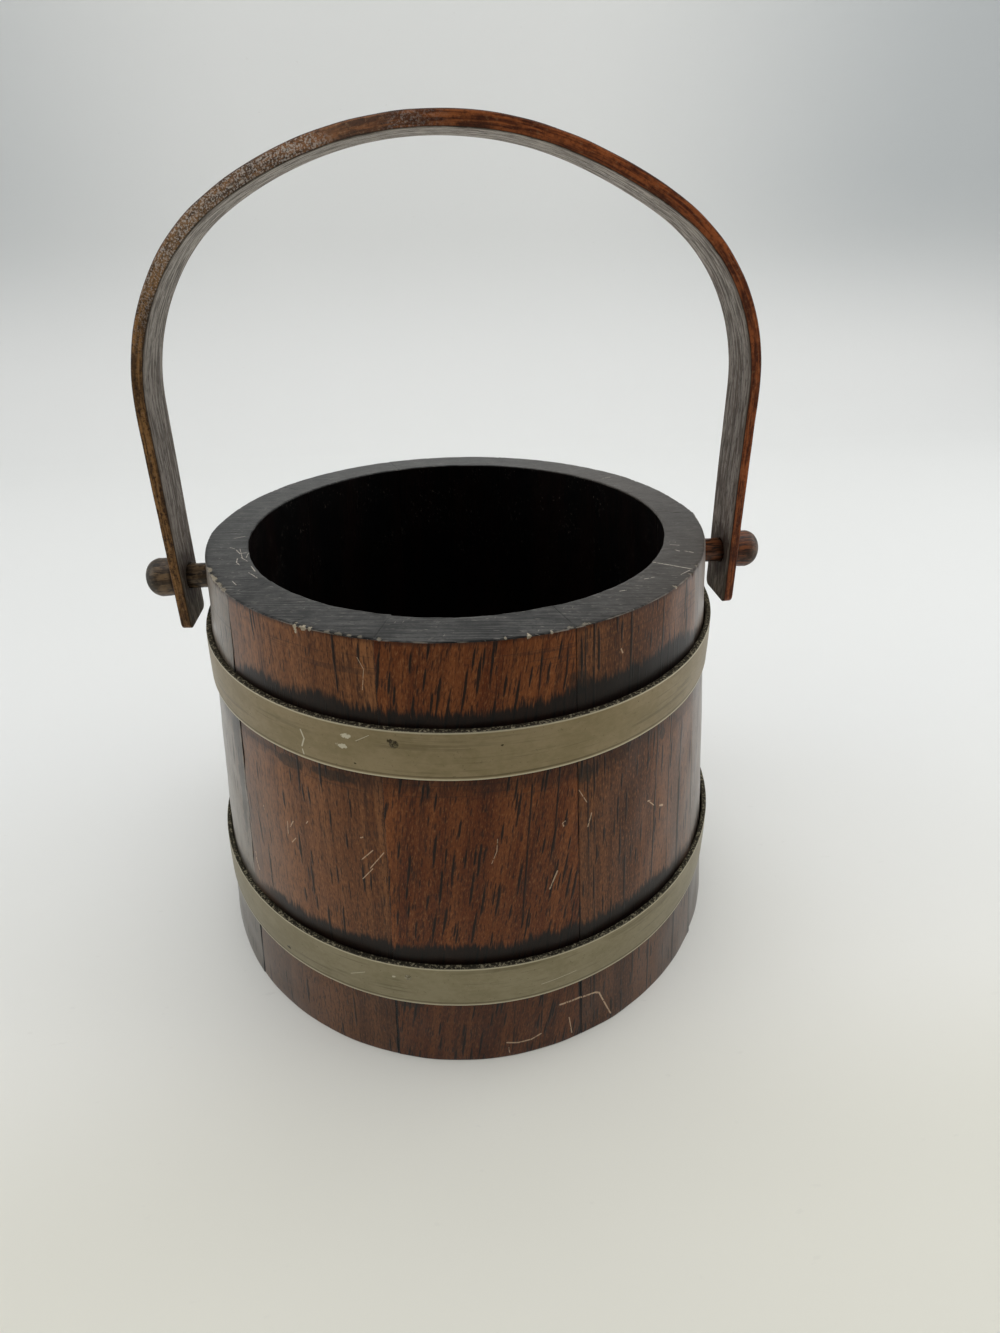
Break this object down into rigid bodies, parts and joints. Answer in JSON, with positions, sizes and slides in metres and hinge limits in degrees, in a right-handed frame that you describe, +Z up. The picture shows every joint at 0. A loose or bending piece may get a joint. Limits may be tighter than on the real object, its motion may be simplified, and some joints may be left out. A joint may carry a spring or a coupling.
{
  "type": "wooden bucket",
  "caption": "Coopered wooden bucket, wider at the base than at the rim, with metal hoops and a bent wooden bail on turned pegs.",
  "frame": {"origin": "centre of the base circle, on the surface the bucket stands on", "axes": "+X along the peg axis to the right-hand peg, +Y to the back, +Z up out of the open rim"},
  "size_m": [0.2038, 0.1914, 0.2483],
  "materials": {
    "stave_wood": "aged, rubbed satin",
    "board_wood": "dark, dull",
    "hoop_metal": "aged satin",
    "nail_metal": "dull",
    "peg_wood": "worn satin",
    "bail_wood": "weathered"
  },
  "bodies": {
    "bucket": {"stave_1": "stave_wood", "stave_2": "stave_wood", "stave_3": "stave_wood", "stave_4": "stave_wood", "stave_5": "stave_wood", "stave_6": "stave_wood", "stave_7": "stave_wood", "stave_8": "stave_wood", "stave_9": "stave_wood", "stave_10": "stave_wood", "bottom_board": "board_wood", "upper_hoop": "hoop_metal", "lower_hoop": "hoop_metal", "upper_hoop_nail": "nail_metal", "lower_hoop_nail": "nail_metal", "left_peg": "peg_wood", "right_peg": "peg_wood"},
    "bail": {"bail": "bail_wood"}
  },
  "joints": [
    {"name": "bail_swing", "type": "hinge", "parent": "bucket", "child": "bail", "pos_m": [0, 0, 0.129], "axis": [1, 0, 0], "range_deg": [-125, 125]}
  ]
}
